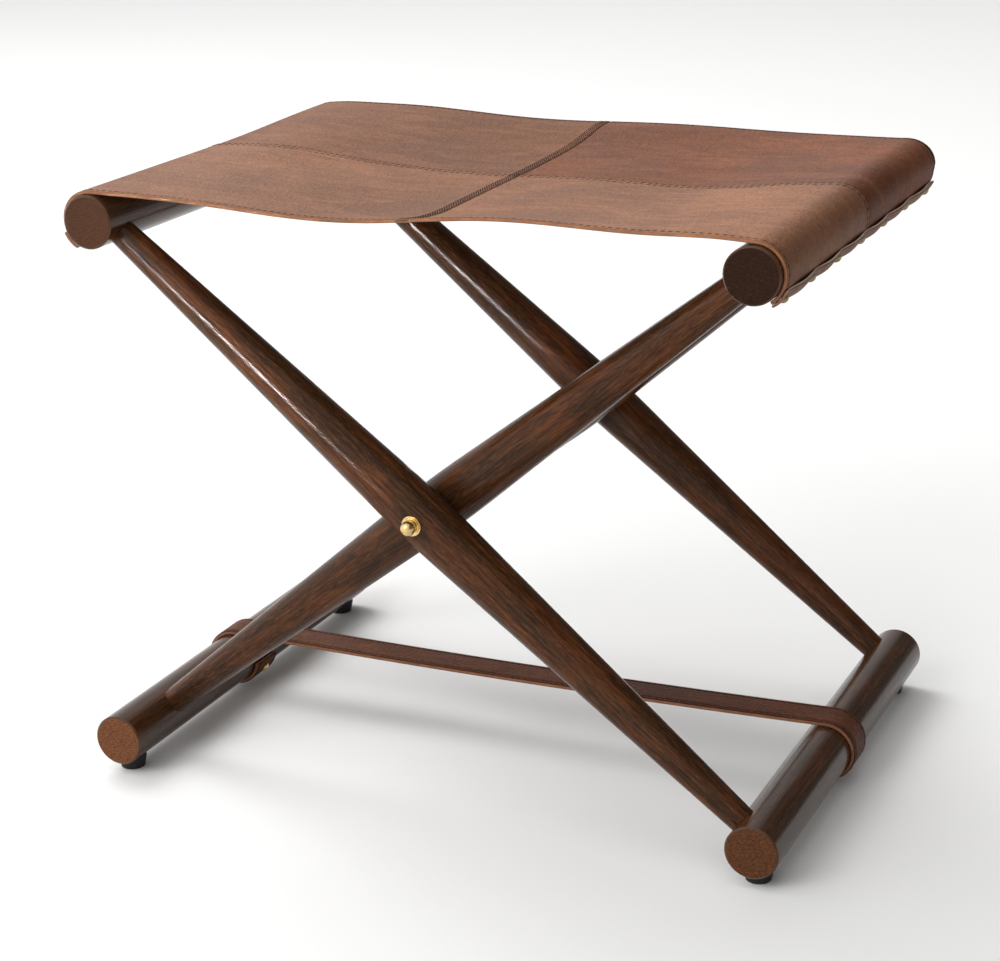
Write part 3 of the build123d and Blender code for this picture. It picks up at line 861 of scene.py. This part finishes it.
def paint_frame():
    """Wood with its own grain on each rail and leg, and the metal and rubber parts."""
    # How light each rail's end grain is: partly the wood's own tone, and partly painted light, lighter on
    # the left and on the lower rails where more light falls, darkest on the upper right.
    end_tones_and_light = {
        "top_rail_left": 0.55, "top_rail_right": 0.25,
        "bottom_rail_left": 1.50, "bottom_rail_right": 0.95,
    }
    for n, (name, end_tone_and_light) in enumerate(end_tones_and_light.items()):
        offset = (0.37 * n, 0.11 * n, 0.23 * n)
        wood = wood_material(f"wood_{name}", (0, 1, 0), offset, sheen=0.26, figure=0.4, end_tone_and_light=end_tone_and_light)
        paint(name, wood)
    for hand, pair in ((1, "outer"), (-1, "inner")):
        for n, place in enumerate(("front", "rear")):
            name = f"leg_{pair}_{place}"
            offset = (2 + 0.41 * n, 0.17 * hand, 0.31 * n)
            wood = wood_material(f"wood_{name}", leg_direction(hand), offset, sheen=0.14, figure=0.7)
            paint(name, wood)
    brass = metal_material("polished_brass", (0.78, 0.56, 0.25), (0.42, 0.27, 0.10), 0.16)
    dull_brass = metal_material("dull_brass", (0.30, 0.235, 0.125), (0.10, 0.073, 0.038), 0.32)
    steel = metal_material("plain_steel", (0.55, 0.55, 0.56), (0.30, 0.29, 0.28), 0.30)
    rubber = rubber_material()
    for name in nodes:
        if name.startswith("foot_screws"):
            paint(name, steel)
        elif name.startswith("foot_"):
            paint(name, rubber)
        elif name.startswith("seat_nails"):
            paint(name, dull_brass)
        elif any(word in name for word in ("nut", "washer", "bolt", "screw")):
            paint(name, brass)


def dress_seat():
    """The sling's four panels, their stitching and the two nailing strips. Returns the thread."""
    edge = cut_edge_material("seat_cut_edge", (0.420, 0.170, 0.064), (0.250, 0.092, 0.032))
    flesh = flesh_side_material("seat_flesh_side", (0.16, 0.075, 0.042), (0.085, 0.038, 0.022))
    tints = {
        ("left", "front"): ((0.314, 0.144, 0.079), (0.220, 0.097, 0.052)),
        ("left", "rear"): ((0.259, 0.113, 0.059), (0.180, 0.074, 0.038)),
        ("right", "front"): ((0.342, 0.160, 0.088), (0.242, 0.107, 0.058)),
        ("right", "rear"): ((0.243, 0.090, 0.044), (0.156, 0.055, 0.027)),
    }
    for (across, along), (light, dark) in tints.items():
        place = f"{across}_{along}"
        side_x = -1 if across == "left" else 1
        side_y = -1 if along == "front" else 1
        offset = (1.3 * side_x, 0.7 * side_y, 0)
        leather = leather_material(f"seat_panel_{place}_leather", light, dark, offset)
        seat_panel(place, side_x, side_y, [leather, edge, flesh])
    thread = thread_material()
    seat_stitching(thread)
    strip_leather = leather_material(
        "strip_leather", (0.210, 0.105, 0.068), (0.130, 0.060, 0.038), (4, 0, 0), sheen=0.03,
    )
    strip_edge = cut_edge_material("strip_cut_edge", (0.30, 0.130, 0.060), (0.18, 0.070, 0.032))
    # The wall along each strip's upper edge is pale cream: a painted highlight of light catching that raised
    # edge.
    painted_highlight_upper_edge = cut_edge_material("strip_upper_edge_painted_highlight", (0.90, 0.74, 0.60), (0.70, 0.50, 0.38))
    for place, side, body in (("left", -1, "outer_frame"), ("right", 1, "inner_frame")):
        nail_strip(place, side, body, [strip_leather, strip_edge, flesh, painted_highlight_upper_edge])
    return thread


def dress_strap(thread):
    """The stretcher strap between the bottom rails."""
    leather = leather_material(
        "strap_leather", (0.122, 0.043, 0.021), (0.076, 0.026, 0.013), (8, 0, 0), sheen=0.07,
    )
    edge = cut_edge_material("strap_cut_edge", (0.34, 0.125, 0.045), (0.20, 0.070, 0.026))
    flesh = flesh_side_material("strap_flesh_side", (0.12, 0.055, 0.032), (0.065, 0.030, 0.018))
    strap, stitching = stretcher_strap([leather, edge, flesh], thread)


# ---------------------------------------------------------------- floor and light

def make_floor():
    """A wide, plain, pale floor."""
    mesh = bpy.data.meshes.new("floor")
    reach = 20.0
    corners = [(x * reach, y * reach, 0) for x, y in ((-1, -1), (1, -1), (1, 1), (-1, 1))]
    mesh.from_pydata(corners, [], [(0, 1, 2, 3)])
    floor = bpy.data.objects.new("floor", mesh)
    bpy.context.scene.collection.objects.link(floor)
    material, tree, shader = new_material("pale_floor", Roughness=0.75, Specular_IOR_Level=0.2)
    place = object_place(tree)
    cloud = noise(tree, place, 1.5, 2.0)
    tone = mix(tree, cloud, (0.86, 0.86, 0.853), (0.88, 0.88, 0.873))
    connect(tree, shader, Base_Color=tone)
    mesh.materials.append(material)


def area_light(name, place, target, size, power, roll=0.0, beam=math.pi):
    """A rectangular light that faces a target. A narrower beam is brighter at the same power."""
    data = bpy.data.lights.new(name, "AREA")
    data.shape = "RECTANGLE"
    data.size, data.size_y = size
    data.energy = power
    data.spread = beam
    light = bpy.data.objects.new(name, data)
    light.location = place
    aim = (Vector(target) - Vector(place)).to_track_quat("-Z", "Y")
    light.rotation_euler = (aim @ Quaternion((0, 0, 1), roll)).to_euler()
    bpy.context.scene.collection.objects.link(light)


def grey_ramp(tree, factor, *stops):
    """A ramp through (place, grey) stops."""
    return ramp(tree, factor, *[(place, (grey, grey, grey)) for place, grey in stops])


def make_light():
    """A pale room, dim on the right, with two soft lights from the left and a small narrow one.

    The key light is behind the stool and the fill light in front of it, both above it. The streak
    light is low at the front, and puts a highlight along one leg."""
    scene = bpy.context.scene
    scene.view_settings.view_transform = "Standard"
    world = bpy.data.worlds.new("studio")
    world.use_nodes = True
    scene.world = world
    tree = world.node_tree
    direction = add_node(tree, "ShaderNodeTexCoord").outputs["Generated"]
    height = add_node(tree, "ShaderNodeSeparateXYZ", {"Vector": direction}).outputs["Z"]
    room = grey_ramp(tree, height, (0.0, 0.44), (0.50, 0.40), (0.80, 0.50), (0.95, 0.56))
    left = (-math.cos(camera_azimuth), -math.sin(camera_azimuth), 0)
    facing = add_node(tree, "ShaderNodeVectorMath", {0: direction, 1: left}, operation="DOT_PRODUCT")
    side = spread(tree, facing.outputs["Value"], -1.0, 1.0)
    side = grey_ramp(tree, side, (0.0, 0.10), (0.29, 0.10), (0.38, 0.52), (1.0, 1.0))
    shade = mix(tree, 1.0, room, side, "MULTIPLY")
    background = tree.nodes["Background"]
    tree.links.new(shade, background.inputs["Color"])
    background.inputs["Strength"].default_value = 3.3
    area_light("key", (-2.6, 1.5, 3.4), (0, 0, 0.2), size=(2.2, 2.2), power=75)
    area_light("fill", (-1.6, -3.4, 2.6), (0, -0.3, 0.1), size=(2.5, 2.0), power=70)
    area_light(
        "streak", (-0.95, -2.1, 0.28), (-0.19, -0.18, 0.36), size=(0.22, 0.09), power=0.14,
        roll=math.radians(-39), beam=math.radians(9),
    )


make_camera()
paint_frame()
thread = dress_seat()
dress_strap(thread)
make_floor()
make_light()
